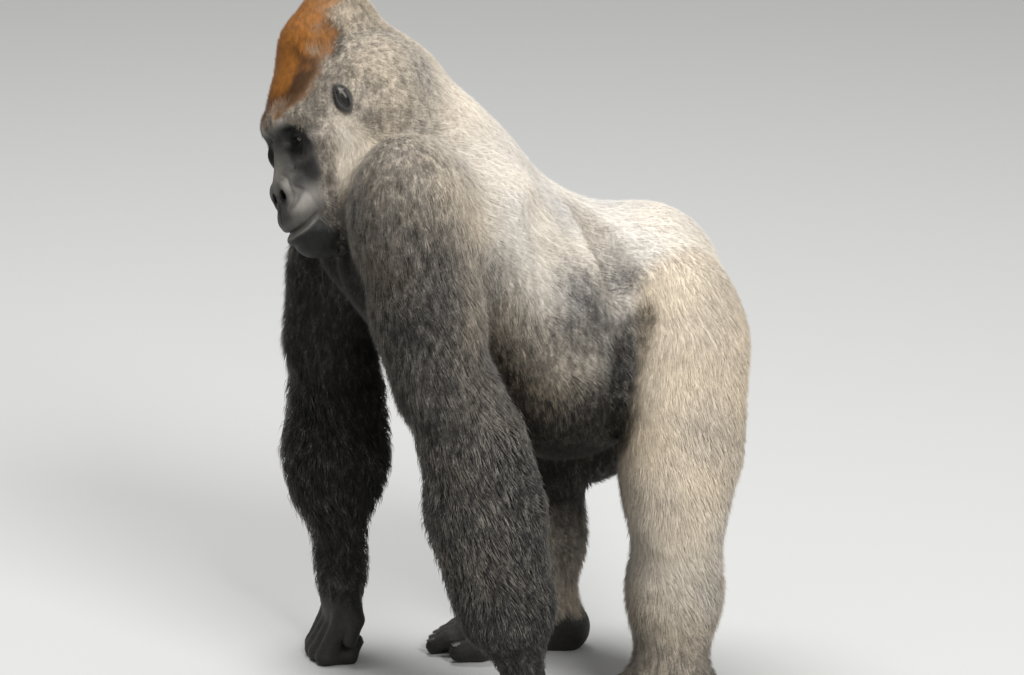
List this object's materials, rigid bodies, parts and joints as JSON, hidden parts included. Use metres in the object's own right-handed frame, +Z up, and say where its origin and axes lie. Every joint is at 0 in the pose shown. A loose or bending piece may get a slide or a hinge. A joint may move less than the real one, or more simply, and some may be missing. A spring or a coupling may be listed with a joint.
{
  "type": "gorilla",
  "caption": "Life-size adult male silverback gorilla standing on its knuckles and soles, head turned to its left, as a still museum model.",
  "frame": {"origin": "on the floor, under the middle of the animal's box", "axes": "+Z up from the floor, -X the way the animal faces, -Y towards its left side"},
  "size_m": [0.7736, 0.7032, 1.164],
  "materials": {
    "coat_head": "short dense fur, rufous on the crown and grey-tan on the cheek and nape",
    "coat_grey": "short fur, grizzled grey over dark brown",
    "coat_silver": "short fur lying flat, silver to cream over the back and rump",
    "coat_dark": "shaggy charcoal fur",
    "bare_skin": "bare black skin, creased, with a soft sheen",
    "eyes": "wet gloss over a dark brown iris"
  },
  "bodies": {
    "root": {"head": "coat_head", "eye_left": "eyes", "eye_right": "eyes", "ear_left": "bare_skin", "ear_right": "bare_skin", "neck": "coat_head", "chest": "coat_grey", "belly": "coat_silver", "pelvis": "coat_silver", "upper_arm_left": "coat_dark", "upper_arm_right": "coat_dark", "forearm_left": "coat_dark", "forearm_right": "coat_dark", "hand_left": "bare_skin", "hand_right": "bare_skin", "thigh_left": "coat_silver", "thigh_right": "coat_silver", "shank_left": "coat_grey", "shank_right": "coat_grey", "foot_left": "bare_skin", "foot_right": "bare_skin"}
  },
  "joints": []
}
